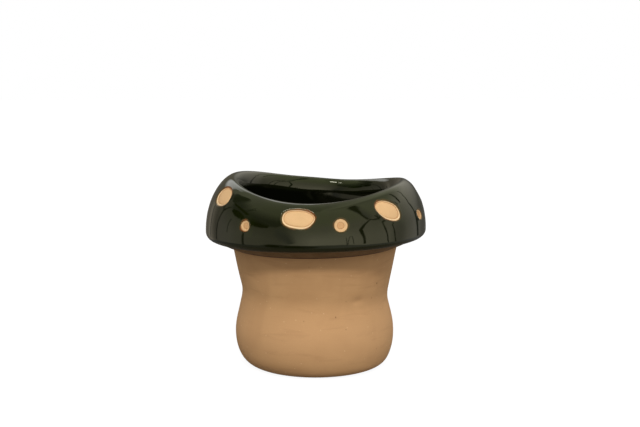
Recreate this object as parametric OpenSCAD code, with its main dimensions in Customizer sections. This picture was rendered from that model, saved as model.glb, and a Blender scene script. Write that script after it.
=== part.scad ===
// A mushroom-shaped planter in fired clay: a waisted stem pot that holds the plant,
// and a hollow glazed cap ring with a wavy rolled rim, set over the top of the pot.
// Millimetres. +Z is up, the front is -Y, and the origin is the middle of the foot.
// Azimuths are in degrees, counted from +X towards +Y.

/* [Stem pot] */
// Radius at which the base curve leaves the ground
foot_r = 48; // [43:1:53]
// Largest radius of the belly
belly_r = 75.5; // [72:0.5:80]
// Height of the belly's widest line
belly_z = 32; // [28:1:36]
// Radius of the arc that rounds the belly above its widest line
belly_arc = 70; // [50:5:90]
// Lean of the wall between the belly and the waist, in degrees
waist_lean = 12.6; // [9:0.2:15]
// Height of the crease at the waist
waist_z = 69.6; // [64:0.2:74]
// Radius of the crease at the waist
waist_arc = 32; // [15:1:45]
// Lean of the wall that flares out above the waist, in degrees
flare_lean = 11.5; // [7:0.5:15]
// Height at which the cap's underside meets the stem
seam_z = 115.2; // [110:0.2:118]
// Thickness of the pot's wall
pot_wall = 6.5; // [5:0.1:9]
// Thickness of the floor over the foot recess
floor_t = 6; // [4:0.5:10]
// Height of the shallow recess under the floor
recess_h = 2; // [1:0.5:4]
// Width of the flat ring that the pot stands on
foot_ring = 7; // [4:0.5:10]
// Radius of the drain hole
drain_r = 8; // [4:0.5:12]

/* [Cap] */
// Radius of the brim at its widest line
brim_r = 104.3; // [98:0.1:110]
// Height of the brim's widest line over the seam
brim_h = 14.8; // [12:0.1:18]
// Radius that rounds the brim under its widest line
brim_corner = 5.6; // [3:0.1:8]
// Radius of the crest line round the mouth
mouth_r = 80.6; // [77:0.1:86]
// Sideways offset of the mouth from the pot's axis
mouth_shift = 2.4; // [0:0.1:3]
// Mean height of the crest over the brim's widest line
dome_h = 43.3; // [38:0.1:50]
// How far the crest rises at its two sides and dips at its front and back
rim_rise = 6.7; // [0:0.1:8]
// Azimuth of the crest's high side
rim_dir = -10.5; // [-45:0.5:45]
// How far the crest is raised at one side and lowered at the other
rim_lift = 2.8; // [0:0.1:3]
// Azimuth of the crest's raised side
rim_lift_dir = 123; // [0:1:360]
// Lean of the brim from the level, in degrees, raised towards +X
cap_lean = 0.8; // [0:0.1:1.2]
// Fullness of the dome towards the brim: 2 is an ellipse, less is leaner
dome_out = 1.59; // [1.3:0.01:2.4]
// Fullness of the dome towards the crest
dome_up = 2.08; // [1.8:0.01:2.6]
// Width of the rolled lip from its crest to its inner face
lip_w = 9; // [8:0.5:10]
// Height of the rolled lip from its crest to its inner face
lip_h = 10; // [8:0.5:12]
// Thickness of the cap's clay wall
cap_wall = 6; // [4.5:0.1:7]
// Depth of the pot's own rim, hidden inside the cap, below the crest's mean height
rim_drop = 28.3; // [25:0.1:34]

/* [Joints and glaze] */
// Thickness of the slip that bonds the cap to the pot
joint_t = 0.8; // [0.5:0.1:1.5]
// How far the slip stays back inside the seam, as a shadow groove
seam_groove = 2; // [1.5:0.1:3]
// Thickness of the glaze
glaze_t = 0.8; // [0.4:0.1:1.2]
// How far the liner glaze stays back from the drain hole
drain_bare = 2; // [1:0.5:4]

/* [Spots] */
// Depth of a bare clay spot under the glaze's surface
spot_depth = 2.2; // [1.8:0.1:3]
// Lean of a spot's wall outwards, in degrees
spot_lean = 25; // [0:1:35]
// Half height of a full-size spot, at the glaze's surface
spot_half = 10; // [7:0.1:11]

/* [Hidden] */

az_steps = 60;       // facets round the cap
roll_steps = 5;      // facets over the rolled lip
dome_steps = 11;     // facets down the dome
corner_steps = 3;    // facets round the brim's lower edge
void_steps = 5;      // facets down the dome inside the cap
base_steps = 16;     // cones in the base curve
arc_steps = 8;       // cones in each arc of the stem's side
spot_steps = 24;     // sides of a spot's oval
base_out = 3;        // fullness of the base curve towards the belly
base_down = 2.2;     // fullness of the base curve towards the ground
cut_over = 4;        // how far a cutter reaches past the face it cuts

// Seven large spots and seven small ones by turns round the dome. Each has its azimuth,
// its place down the dome from crest (0) to brim (90), its half length and half height
// as shares of a full-size spot's half height, and its slant from the level
SPOTS = [
    [206, 38, 1.4, 1, -18], [232.5, 66.5, 0.54, 0.46, -50],
    [261, 47.5, 1.5, 1, -6], [282.5, 60.5, 0.65, 0.62, 20],
    [311, 49, 1.4, 0.96, -26], [339, 68, 0.78, 0.52, -16],
    [3, 46, 1.45, 0.98, -10], [29, 65, 0.6, 0.54, 30],
    [54, 50, 1.4, 1, 14], [80, 67, 0.66, 0.54, -20],
    [106, 44, 1.5, 0.96, -20], [131, 62, 0.56, 0.54, 0],
    [156, 48, 1.38, 1, 8], [181, 67, 0.64, 0.5, 40]];

clay = [0.76, 0.60, 0.42];
slip = [0.50, 0.38, 0.27];
green = [0.13, 0.17, 0.10];

// Radius and height of the point where the belly arc becomes the straight wall
wall_r = belly_r - belly_arc * (1 - cos(waist_lean));
wall_z = belly_z + belly_arc * sin(waist_lean);
// Radius at which the two straight walls would cross at the waist
waist_r = wall_r - (waist_z - wall_z) * tan(waist_lean);
// Centre of the crease's arc
waist_run = waist_arc * tan((waist_lean + flare_lean) / 2);
waist_c = [waist_r + waist_run * sin(waist_lean) + waist_arc * cos(waist_lean),
           waist_z - waist_run * cos(waist_lean) + waist_arc * sin(waist_lean)];
// Radius of the stem at the seam and of the neck inside the cap
seam_r = waist_r + (seam_z - waist_z) * tan(flare_lean);
throat_r = seam_r - pot_wall;
floor_z = recess_h + floor_t;
// Heights of the brim, the crest's mean, the lip's lower end and the pot's own rim
brim_z = seam_z + brim_h;
crest_z = brim_z + dome_h;
lip_z = crest_z - rim_drop + joint_t;
pot_rim_z = crest_z - rim_drop;
hole_r = seam_r + joint_t;
// Height of the collar round the stem: the clay wall, cut upright through a sloping underside
underside_slope = atan2(brim_z - brim_corner - seam_z, brim_r - brim_corner - hole_r);
collar_h = cap_wall / cos(underside_slope);

function reversed(list) = [for (i = [len(list) - 1:-1:0]) list[i]];

// ---- Stem pot ----

// Base curve, from radius r0 at height z0 up to radius r1 at the belly
function base_curve(r0, z0, r1) = [for (i = [0:base_steps - 1])
    let (t = 90 * i / base_steps)
    [r0 + (r1 - r0) * pow(sin(t), 2 / base_out),
     belly_z - (belly_z - z0) * pow(cos(t), 2 / base_down)]];

// Side of the stem above the belly, drawn in by a skin's thickness, up to a height
function side_curve(skin, top) = concat(
    [for (i = [0:arc_steps]) let (a = waist_lean * i / arc_steps)
        [belly_r - skin - belly_arc * (1 - cos(a)), belly_z + belly_arc * sin(a)]],
    [for (i = [0:arc_steps]) let (a = waist_lean - (waist_lean + flare_lean) * i / arc_steps)
        [waist_c[0] - skin - waist_arc * cos(a), waist_c[1] - waist_arc * sin(a)]],
    [[seam_r - skin, seam_z], [seam_r - skin, top]]);

// Inside of the pot at a skin's thickness from its clay, from the floor to a height
function inside_curve(skin, top) = concat(
    base_curve(foot_r - skin, floor_z + skin, belly_r - pot_wall - skin),
    side_curve(pot_wall + skin, top));

module stem_pot() {
    ring_in = foot_r - foot_ring;
    color(clay)
    difference() {
        rotate_extrude($fn = 96)
        polygon(concat(
            [[0, recess_h], [ring_in - recess_h, recess_h], [ring_in, 0]],
            base_curve(foot_r, 0, belly_r),
            side_curve(0, pot_rim_z),
            reversed(inside_curve(0, pot_rim_z)),
            [[0, floor_z]]));
        translate([0, 0, -cut_over])
        cylinder(h = floor_z + 2 * cut_over, r = drain_r, $fn = 48);
    }
}

module liner_glaze() {
    bare_r = drain_r + drain_bare;
    color(green)
    rotate_extrude($fn = 96)
    polygon(concat(
        [[bare_r, floor_z]],
        inside_curve(0, lip_z),
        reversed(inside_curve(glaze_t, lip_z)),
        [[bare_r, floor_z + glaze_t]]));
}

// ---- Slip that bonds the cap to the pot ----

module slip_ring(r0, r1, z0, z1) {
    color(slip)
    rotate_extrude($fn = 96)
    polygon([[r0, z0], [r1, z0], [r1, z1], [r0, z1]]);
}

module seam_slip() {
    slip_ring(seam_r, hole_r, seam_z + seam_groove, seam_z + collar_h - seam_groove);
}

module lip_slip() {
    slip_ring(throat_r, seam_r, pot_rim_z, lip_z);
}

// ---- Cap ----

function crest_at(az) = crest_z + rim_rise * cos(2 * (az - rim_dir))
                        + rim_lift * cos(az - rim_lift_dir);
function lean_at(az, r) = r * tan(cap_lean) * cos(az);
function brim_at(az) = brim_z + lean_at(az, brim_r);

// A point of the cap from its azimuth, radius, height and share of the mouth's offset
function cap_point(az, r, z, share) = [r * cos(az) + share * mouth_shift, r * sin(az), z];

// Dome, from the crest at t = 0 to the brim at t = 90, at a depth under the glaze
function dome_point(az, t, depth) =
    let (out = pow(sin(t), 2 / dome_out), up = pow(cos(t), 2 / dome_up))
    cap_point(az, mouth_r + (brim_r - depth - mouth_r) * out,
              brim_at(az) + (crest_at(az) - depth - brim_at(az)) * up, 1 - out);

// Rolled lip, from the crest at u = 0 to its inner face at u = 90
function roll_point(az, u, depth) =
    cap_point(az, mouth_r - (lip_w - depth) * sin(u),
              crest_at(az) - depth - (lip_h - depth) * (1 - cos(u)), 1);

// Rounded edge under the brim
function corner_point(az, v, depth) =
    cap_point(az, brim_r - depth - (brim_corner - depth) * (1 - cos(v)),
              brim_at(az) - (brim_corner - depth) * sin(v), 0);

// Section of the cap's outside from the lip's lower end over the crest to the brim's edge
function skin_section(az, depth) = concat(
    [cap_point(az, throat_r - glaze_t + depth, lip_z, 0)],
    [for (i = [roll_steps:-1:0]) roll_point(az, 90 * i / roll_steps, depth)],
    [for (i = [1:dome_steps]) dome_point(az, 90 * i / dome_steps, depth)],
    [for (i = [1:corner_steps]) corner_point(az, 90 * i / corner_steps, depth)]);

// Section of the space inside the cap, from the lip's lower end to the brim
function void_section(az) =
    let (depth = glaze_t + cap_wall)
    concat(
        [cap_point(az, throat_r + cap_wall, lip_z, 0)],
        [for (i = [2:-1:0]) roll_point(az, 90 * i / 2, depth)],
        [for (i = [1:void_steps]) dome_point(az, 90 * i / void_steps, depth)]);

// The hole round the stem is drawn so that its flats, not its corners, clear the slip
function clay_section(az) =
    let (flat_r = hole_r / cos(180 / az_steps), z = seam_z + lean_at(az, hole_r))
    concat(
        skin_section(az, glaze_t),
        [cap_point(az, flat_r, z, 0), cap_point(az, flat_r, z + collar_h, 0)],
        reversed(void_section(az)));

// A ring-shaped solid through closed sections of equal length
module ring_solid(sections, outward) {
    n = len(sections);
    m = len(sections[0]);
    polyhedron(
        points = [for (s = sections) each s],
        faces = [for (i = [0:n - 1]) for (j = [0:m - 1])
            let (a = i * m + j, b = i * m + (j + 1) % m,
                 c = ((i + 1) % n) * m + (j + 1) % m, d = ((i + 1) % n) * m + j)
            each (outward ? [[a, b, c], [a, c, d]] : [[c, b, a], [d, c, a]])]);
}

// Cutter for one spot: an oval plug along the dome's own normal
module spot_cutter(az, t, length_share, height_share, slant) {
    place = dome_point(az, t, 0);
    // Slope of the dome's section, from the superellipse's own gradient
    rise = dome_up * pow(cos(t), 2 - 2 / dome_up) / (crest_at(az) - brim_at(az));
    run = dome_out * pow(sin(t), 2 - 2 / dome_out) / (brim_r - mouth_r);
    // Half length and half height at the glaze's surface, on the spot's floor and at the far end
    at_skin = [length_share, height_share] * spot_half;
    at_floor = at_skin - [1, 1] * spot_depth * tan(spot_lean);
    at_end = at_skin + [1, 1] * cut_over * tan(spot_lean);
    translate(place) rotate([0, 0, az]) rotate([0, atan2(run, rise), 0])
    translate([0, 0, -spot_depth]) rotate([0, 0, 90 + slant])
    linear_extrude(height = spot_depth + cut_over, slices = 1,
                   scale = [at_end[0] / at_floor[0], at_end[1] / at_floor[1]])
    polygon([for (i = [0:spot_steps - 1]) let (a = 360 * i / spot_steps)
        [at_floor[0] * cos(a), at_floor[1] * sin(a)]]);
}

module spot_cutters() {
    for (s = SPOTS) spot_cutter(s[0], s[1], s[2], s[3], s[4]);
}

module cap_body() {
    color(clay)
    difference() {
        ring_solid([for (i = [0:az_steps - 1]) clay_section(360 * i / az_steps)], true);
        spot_cutters();
    }
}

module cap_glaze() {
    color(green)
    difference() {
        ring_solid([for (i = [0:az_steps - 1]) let (az = 360 * i / az_steps)
            concat(skin_section(az, glaze_t), reversed(skin_section(az, 0)))], false);
        spot_cutters();
    }
}

stem_pot();
cap_body();
seam_slip();
lip_slip();
cap_glaze();
liner_glaze();
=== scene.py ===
"""Looks of the mushroom planter: bare clay stem pot, glazed cap ring and its recessed oval spots.

The shapes repeat part.scad's formulas in millimetres, with a potter's small unevenness added,
and are turned into metres when a mesh is made. +Z is up and the front is -Y.
"""
import math

import bpy
import numpy as np
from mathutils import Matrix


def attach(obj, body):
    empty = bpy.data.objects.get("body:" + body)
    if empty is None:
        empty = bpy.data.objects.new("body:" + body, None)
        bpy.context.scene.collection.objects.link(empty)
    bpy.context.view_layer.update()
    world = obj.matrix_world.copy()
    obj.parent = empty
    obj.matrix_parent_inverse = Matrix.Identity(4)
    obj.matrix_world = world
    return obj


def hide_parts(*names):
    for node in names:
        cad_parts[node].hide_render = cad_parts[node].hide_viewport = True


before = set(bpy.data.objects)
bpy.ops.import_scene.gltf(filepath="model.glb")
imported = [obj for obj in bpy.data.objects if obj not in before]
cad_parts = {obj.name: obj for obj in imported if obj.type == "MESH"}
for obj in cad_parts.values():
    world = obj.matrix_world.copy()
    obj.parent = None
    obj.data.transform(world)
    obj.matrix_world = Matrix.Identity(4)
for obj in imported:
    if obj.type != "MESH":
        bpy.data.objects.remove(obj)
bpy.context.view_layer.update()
scene = bpy.context.scene

MM = 0.001

# ---- Sizes, as in part.scad, in millimetres and degrees ----

FOOT_R = 48.0
BELLY_R = 75.5
BELLY_Z = 32.0
BELLY_ARC = 70.0
WAIST_LEAN = 12.6
WAIST_Z = 69.6
WAIST_ARC = 32.0
FLARE_LEAN = 11.5
SEAM_Z = 115.2
POT_WALL = 6.5
FLOOR_T = 6.0
RECESS_H = 2.0
FOOT_RING = 7.0
DRAIN_R = 8.0
DRAIN_BARE = 2.0
BASE_OUT = 3.0
BASE_DOWN = 2.2

BRIM_R = 104.3
BRIM_H = 14.8
BRIM_CORNER = 5.6
MOUTH_R = 80.6
MOUTH_SHIFT = 2.4
DOME_H = 43.3
RIM_RISE = 6.7
RIM_DIR = -10.5
RIM_LIFT = 2.8
RIM_LIFT_DIR = 123.0
CAP_LEAN = 0.8
DOME_OUT = 1.59
DOME_UP = 2.08
LIP_W = 9.0
LIP_H = 10.0
CAP_WALL = 6.0
RIM_DROP = 28.3
JOINT_T = 0.8
GLAZE_T = 0.8

# Spots: azimuth, place down the dome from crest (0) to brim (90), half length, half height, slant
SPOTS = [
    (204.3, 38, 14.0, 10.0, -18), (232.5, 66.5, 5.4, 4.6, -50),
    (261, 47.5, 15.0, 10.0, -6), (282.5, 60.5, 6.5, 6.2, 20),
    (311, 49, 14.0, 9.6, -26), (339, 68, 7.8, 5.2, -16),
    (3.4, 46, 14.5, 9.8, -10), (29, 65, 6.0, 5.4, 30),
    (54, 50, 14.0, 10.0, 14), (80, 67, 6.6, 5.4, -20),
    (106, 44, 15.0, 9.6, -20), (131, 62, 5.6, 5.4, 0),
    (156, 48, 13.8, 10.0, 8), (181, 67, 6.4, 5.0, 40)]

# Outlines of the spots that face the front: the oval's size, and the cosine and sine parts of
# the waves round it, slowest first
OUTLINES = [
    (0.949, [(-0.013, 0.033), (-0.045, -0.08), (0.03, 0), (0, 0.014)]),
    (0.97, [(-0.02, 0.1), (-0.034, -0.01), (0.037, -0.006)]),
    (0.981, [(-0.052, -0.038), (0.006, 0), (-0.004, -0.005), (-0.017, -0.006), (0.011, -0.015)]),
    (0.94, [(0.021, 0.003), (-0.04, 0.017), (-0.004, 0.015)]),
    (0.985, [(0.021, -0.021), (0.058, 0.061), (0.002, 0.007), (-0.005, 0.007), (-0.006, 0.013)]),
    (0.87, [(0.05, 0), (0.027, 0.04)])]

# ---- Sizes of the detail that only the looks have, in millimetres ----

WAIST_TILT = (2.2, 168, 16)  # rise of the waist's crease, its azimuth and half height
STEM_CALM = 22.0  # height over which the stem's unevenness fades out at foot and seam
SEAM_BARE = 2.0  # height below the seam that has none of it
BACK_LIFT = (0.8, 92, 16)  # small rise of the rim at the back, its azimuth and half width
CREST_OFF = 0.5  # shift of the cap's crest to the right
BRIM_OFF = 0.9  # shift of the cap's brim to the right
LIP_LONGER = 5.0  # extra height of the lip's roll
LIP_SHORTER = (3.0, 78, 18)  # how much less at the back, its azimuth and half width
CREST_CALM = 12.0  # degrees down the dome over which its unevenness starts
BRIM_CALM = (94.0, 10.0)  # where it would end past the brim, and over how many degrees
CORNER_CALM = 0.4  # share of it that the brim's lower edge keeps
CLAY_GAP = 0.02  # room between the cap's clay and its glaze
BRIM_LOW = (0.5, 0.35, 225)  # drop of the brim's lower edge, and more towards an azimuth
UNDER_SAG = 0.35  # dip of the cap's underside
BEAD_BULGE = 1.6  # roundness of the glaze's lower end, 1 for a half circle
LARGE_SPOT = 8.0  # least half height of a large spot
LARGE_RIM = (0.3, 2.4, 1.0)  # widths of a large spot's rim: above, below and beside its floor
SMALL_RIM = (0.49, 0.55, 0.53)  # the same of a small spot, as shares of its half height
SMALL_SHARE = 0.8  # depth of a small spot as a share of a large one's
RIM_DEPTH = 0.95  # depth of the groove round the floor, under the clay's surface
FLOOR_RISE = 0.35  # rise of the floor inside its groove
FLOOR_DISH = 0.25  # dip of the floor's middle
SPOT_MARGIN = 4.0  # least distance from a spot's edge to the plain grid round it
CHAMFER = 0.8  # rounding of the foot ring's inner edge and of the drain hole
TOE_IN = 2.5  # width of the rounding from the foot's flat ring to the stem's side
TOE_OUT = 0.6  # how far outside the foot's radius that rounding's corner is
TOE_ROUND = 2.2  # its radius

# ---- Numbers of rows and columns ----

CAP_COLUMNS = 360
STEM_COLUMNS = 320
WALL_ROWS = 5
ROLL_ROWS = 14
DOME_ROWS = 34
CORNER_ROWS = 8
CURVE_STEPS = 24  # points on one arc of the stem's outline, before they are spaced evenly
BASE_STEPS = 40  # the same on the curve of its outside from the foot up
STEM_ROW = 1.3  # millimetres between the rows of the stem's outside
INSIDE_ROW = 4.0  # the same for its inside
LINER_ROW = 2.0  # the same for the liner glaze
LINER_BACK_ROW = 6.0  # the same for its back

# ---- Values worked out from the sizes ----


def sin(degrees):
    return np.sin(np.radians(degrees))


def cos(degrees):
    return np.cos(np.radians(degrees))


def tan(degrees):
    return np.tan(np.radians(degrees))


def ease(x):
    """0 below 0, 1 above 1, and a smooth step between."""
    x = np.clip(x, 0, 1)
    return x * x * (3 - 2 * x)


def hump(az, centre, wide):
    """1 at one azimuth, and smoothly less round it."""
    turn = (az - centre + 180) % 360 - 180
    return np.exp(-(turn / wide) ** 2)


def around(az, r, z):
    """Points from azimuth, radius and height."""
    return np.stack(np.broadcast_arrays(r * cos(az), r * sin(az), z), axis=-1)


WALL_R = BELLY_R - BELLY_ARC * (1 - cos(WAIST_LEAN))
WALL_Z = BELLY_Z + BELLY_ARC * sin(WAIST_LEAN)
WAIST_R = WALL_R - (WAIST_Z - WALL_Z) * tan(WAIST_LEAN)
WAIST_RUN = WAIST_ARC * tan((WAIST_LEAN + FLARE_LEAN) / 2)
WAIST_CR = WAIST_R + WAIST_RUN * sin(WAIST_LEAN) + WAIST_ARC * cos(WAIST_LEAN)
WAIST_CZ = WAIST_Z - WAIST_RUN * cos(WAIST_LEAN) + WAIST_ARC * sin(WAIST_LEAN)
SEAM_R = WAIST_R + (SEAM_Z - WAIST_Z) * tan(FLARE_LEAN)
THROAT_R = SEAM_R - POT_WALL
FLOOR_Z = RECESS_H + FLOOR_T
BRIM_Z = SEAM_Z + BRIM_H
CREST_Z = BRIM_Z + DOME_H
POT_RIM_Z = CREST_Z - RIM_DROP
LIP_Z = POT_RIM_Z + JOINT_T
HOLE_R = SEAM_R + JOINT_T
UNDER_SLOPE = math.degrees(math.atan2(BRIM_Z - BRIM_CORNER - SEAM_Z, BRIM_R - BRIM_CORNER - HOLE_R))
COLLAR_H = CAP_WALL / cos(UNDER_SLOPE)


def ripples(seed, count, slowest, fastest, down, height):
    """A seeded sum of sines over azimuth and a second coordinate, both in degrees."""
    random = np.random.default_rng(seed)
    round_waves = random.integers(slowest, fastest + 1, count)
    down_waves = random.uniform(-down, down, count)
    phases = random.uniform(0, 360, count)
    heights = height * random.uniform(0.5, 1, count) * np.sqrt(slowest / round_waves)

    def field(az, along):
        total = 0
        for n, m, phase, h in zip(round_waves, down_waves, phases, heights):
            total = total + h * sin(n * az + m * along + phase)
        return total
    return field


# ---- Stem pot ----


def base_curve(r0, z0, r1, steps):
    t = np.linspace(0, 90, steps, endpoint=False)
    return np.column_stack([r0 + (r1 - r0) * sin(t) ** (2 / BASE_OUT),
                            BELLY_Z - (BELLY_Z - z0) * cos(t) ** (2 / BASE_DOWN)])


def side_curve(skin, top, steps):
    a = np.linspace(0, WAIST_LEAN, steps)
    belly = np.column_stack([BELLY_R - skin - BELLY_ARC * (1 - cos(a)), BELLY_Z + BELLY_ARC * sin(a)])
    a = np.linspace(WAIST_LEAN, -FLARE_LEAN, 2 * steps)
    waist = np.column_stack([WAIST_CR - skin - WAIST_ARC * cos(a), WAIST_CZ - WAIST_ARC * sin(a)])
    return np.vstack([belly, waist, [[SEAM_R - skin, SEAM_Z], [SEAM_R - skin, top]]])


def inside_curve(skin, top, steps):
    return np.vstack([base_curve(FOOT_R - skin, FLOOR_Z + skin, BELLY_R - POT_WALL - skin, steps),
                      side_curve(POT_WALL + skin, top, steps)])


def lengths_along(line):
    """The way along a line to each of its points."""
    return np.concatenate([[0], np.cumsum(np.linalg.norm(np.diff(line, axis=0), axis=1))])


def evenly(line, step):
    """The same open line with its points about a step apart."""
    lengths = lengths_along(line)
    places = np.linspace(0, lengths[-1], max(2, int(round(lengths[-1] / step)) + 1))
    return np.column_stack([np.interp(places, lengths, line[:, k]) for k in range(2)])


def rounded(corner, before, after, radius, steps=4):
    """A corner of an outline turned into a small curve."""
    corner, before, after = (np.array(p, float) for p in (corner, before, after))
    start = corner + radius * (before - corner) / np.linalg.norm(before - corner)
    end = corner + radius * (after - corner) / np.linalg.norm(after - corner)
    t = np.linspace(0, 1, steps)[:, None]
    return (1 - t) ** 2 * start + 2 * t * (1 - t) * corner + t * t * end


stem_ripple = ripples(seed=11, count=7, slowest=2, fastest=7, down=6.6, height=0.16)
stem_round = ripples(seed=23, count=4, slowest=2, fastest=3, down=0.5, height=0.22)

# Finger dents and, below zero, a swelling: azimuth, height, half width in degrees, half height, depth
DENTS = [
    (307, 67, 9, 6, 0.5), (304, 73.5, 4.5, 3.2, 1.2), (243, 92, 16, 9, 0.35), (291, 47, 22, 10, 0.3),
    (322, 39, 10, 8, 0.45), (262, 78, 14, 7, 0.3), (225, 22, 18, 9, 0.4), (20, 60, 14, 9, 0.5),
    (75, 90, 18, 10, 0.4), (120, 45, 20, 12, 0.4), (165, 72, 12, 8, 0.6), (180, 36, 40, 16, -0.6),
    (0, 34, 40, 16, 0.4)]
BASE_SWELL = (322, 4, 42, 7, 1.7)  # a fuller place low at the front right, in the same order
BASE_SWELL_FROM = (-2.0, 3.0)  # heights between which it starts


def dent(az, z, centre, height, wide, tall, depth):
    """The depth of one dent, or the height of one swelling, at a place on the stem."""
    return depth * hump(az, centre, wide) * np.exp(-((z - height) / tall) ** 2)


def stem_surface(az, r, z):
    """The true revolve's point, moved by the pot's unevenness, which leaves out the foot and the seam."""
    free = ease(z / STEM_CALM) * ease((SEAM_Z - SEAM_BARE - z) / STEM_CALM)
    dents = sum(dent(az, z, *place) for place in DENTS)
    r = r + free * (stem_ripple(az, z) + stem_round(az, z) - dents)
    start, whole = BASE_SWELL_FROM
    r = r + ease((z - start) / (whole - start)) * dent(az, z, *BASE_SWELL)
    rise, highest, reach = WAIST_TILT
    z = z + rise * np.exp(-((z - WAIST_Z) / reach) ** 2) * cos(az - highest)
    return around(az, r, z)


# ---- Cap ----

cap_ripple = ripples(seed=5, count=9, slowest=2, fastest=9, down=1.6, height=0.08)
cap_wobble = ripples(seed=7, count=10, slowest=14, fastest=30, down=5, height=0.010)


def cap_uneven(az, t):
    return cap_ripple(az, t) + cap_wobble(az, t)


def crest_at(az):
    rise, centre, wide = BACK_LIFT
    back = rise * hump(az, centre, wide)
    return CREST_Z + back + RIM_RISE * cos(2 * (az - RIM_DIR)) + RIM_LIFT * cos(az - RIM_LIFT_DIR)


def lean_at(az, r):
    return r * tan(CAP_LEAN) * cos(az)


def brim_at(az):
    return BRIM_Z + lean_at(az, BRIM_R)


def cap_point(az, r, z, share, off=0.0):
    """A point of the cap, with a share of the mouth's shift and a further one, both to the right."""
    return around(az, r, z) + np.array([1.0, 0, 0]) * np.asarray(share * MOUTH_SHIFT + off)[..., None]


def dome_point(az, t, depth):
    """A point under the dome's surface, t degrees down from the crest (0) to the brim (90)."""
    out = sin(t) ** (2 / DOME_OUT)
    up = np.maximum(cos(t), 0) ** (2 / DOME_UP)
    end, fade = BRIM_CALM
    depth = depth - ease(t / CREST_CALM) * ease((end - t) / fade) * cap_uneven(az, t)
    return cap_point(az, MOUTH_R + (BRIM_R - depth - MOUTH_R) * out,
                     brim_at(az) + (crest_at(az) - depth - brim_at(az)) * up, 1 - out,
                     CREST_OFF + (BRIM_OFF - CREST_OFF) * out)


def roll_point(az, u, depth):
    """A point under the lip's roll, u degrees in from the crest (0) to the wall (90)."""
    less, centre, wide = LIP_SHORTER
    height = LIP_H + LIP_LONGER - less * hump(az, centre, wide)
    return cap_point(az, MOUTH_R - (LIP_W - depth) * sin(u),
                     crest_at(az) - depth - (height - depth) * (1 - cos(u)), 1, CREST_OFF * cos(u))


def corner_point(az, v, depth):
    """A point under the brim's lower edge, v degrees round from its side (0) to its underside (90)."""
    depth = depth - CORNER_CALM * cos(v) * cap_uneven(az, 90)
    low, more, lowest = BRIM_LOW
    low = low + more * cos(az - lowest)
    return cap_point(az, BRIM_R - depth - (BRIM_CORNER - depth) * (1 - cos(v)),
                     brim_at(az) - (BRIM_CORNER - depth) * sin(v) - low * sin(v) ** 2, 0, BRIM_OFF)


def skin_point(az, place, depth):
    """A point of the cap's outside. Place: 0 to 1 up the lip's wall, to 2 over the roll, to 3 down
    the dome, to 4 round the brim's lower edge."""
    az, place, depth = (np.asarray(a, float) for a in np.broadcast_arrays(az, place, depth))
    low = cap_point(az, THROAT_R - GLAZE_T + depth, LIP_Z, 0)
    high = roll_point(az, 90.0, depth)
    share = np.clip(place, 0, 1)[..., None]
    point = low + (high - low) * share
    for start, part in ((1, lambda x: roll_point(az, 90 * (1 - x), depth)),
                        (2, lambda x: dome_point(az, 90 * x, depth)),
                        (3, lambda x: corner_point(az, 90 * x, depth))):
        inside = np.clip(place - start, 0, 1)
        point = np.where((place > start)[..., None], part(inside), point)
    return point


def void_section(az):
    """Sections of the closed space between the cap's wall and the pot, from its foot up and out."""
    depth = GLAZE_T + CAP_WALL
    roll = [roll_point(az, u, depth) for u in (90, 60, 30, 0)]
    dome = [dome_point(az, t, depth) for t in (15, 30, 45, 60, 75, 90)]
    return [cap_point(az, THROAT_R + CAP_WALL, LIP_Z, 0)] + roll + dome


# ---- Meshes ----

FAR = 20.0  # distance in millimetres that stands for no spot nearby
ON_DOME = 2.5  # place that stands for anywhere on the dome
UNDERNEATH = 4.0  # place of all that lies past the brim's lower edge

# Values of a shell's points. edge: on the glaze the millimetres from a spot's edge, on the clay 0 at
# that edge, 1 at the groove and 2 in the middle. bare: 1 for a large spot's clay, SMALL_SHARE for a
# small one's. place: as in skin_point
VALUES = {"edge": FAR, "bare": 0.0, "place": ON_DOME}


class Shell:
    """The points, faces and point values of one closed mesh in the making."""

    def __init__(self):
        self.points = []
        self.faces = []
        self.values = {name: [] for name in VALUES}

    def add(self, points, **values):
        """Adds points of any array shape and returns their numbers in that shape."""
        points = np.asarray(points, float)
        start = len(self.points)
        self.points.extend(points.reshape(-1, 3).tolist())
        for name, usual in VALUES.items():
            value = np.broadcast_to(values.get(name, usual), points.shape[:-1])
            self.values[name].extend(value.ravel().tolist())
        return (start + np.arange(points.size // 3)).reshape(points.shape[:-1])

    def bridge(self, one, other):
        """Quads between two closed rings of equal length."""
        one_next = np.roll(one, -1)
        other_next = np.roll(other, -1)
        self.faces.extend(np.column_stack([one, one_next, other_next, other]).tolist())

    def strip(self, window, last, rings, bare=0.0):
        """A spot's rings, one after another from the last one in place, each with its depth and edge."""
        for ring, depth, edge in rings:
            new = self.add(window.points(ring, depth), edge=edge, bare=bare)
            self.bridge(last, new)
            last = new
        return last

    def fan(self, ring, middle):
        """Triangles between a closed ring and one point."""
        middle = np.full(len(ring), middle)
        self.faces.extend(np.column_stack([ring, np.roll(ring, -1), middle]).tolist())

    def grid(self, index, skip=None):
        """Quads of a grid whose columns go round, with some cells left out."""
        a = index
        b = np.roll(index, -1, axis=0)
        keep = np.ones((a.shape[0], a.shape[1] - 1), bool) if skip is None else ~skip
        quads = np.stack([a[:, :-1], a[:, 1:], b[:, 1:], b[:, :-1]], axis=-1)
        self.faces.extend(quads[keep].tolist())


COLUMN_STEP = 360 / CAP_COLUMNS
AZIMUTHS = np.arange(CAP_COLUMNS) * COLUMN_STEP
# Rows of the cap's outside, as places, closer together where it bends more
PLACES = np.concatenate([np.linspace(0, 1, WALL_ROWS, endpoint=False),
                         1 + np.linspace(0, 1, ROLL_ROWS, endpoint=False),
                         2 + np.linspace(0, 1, DOME_ROWS, endpoint=False),
                         3 + np.linspace(0, 1, CORNER_ROWS)])

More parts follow.
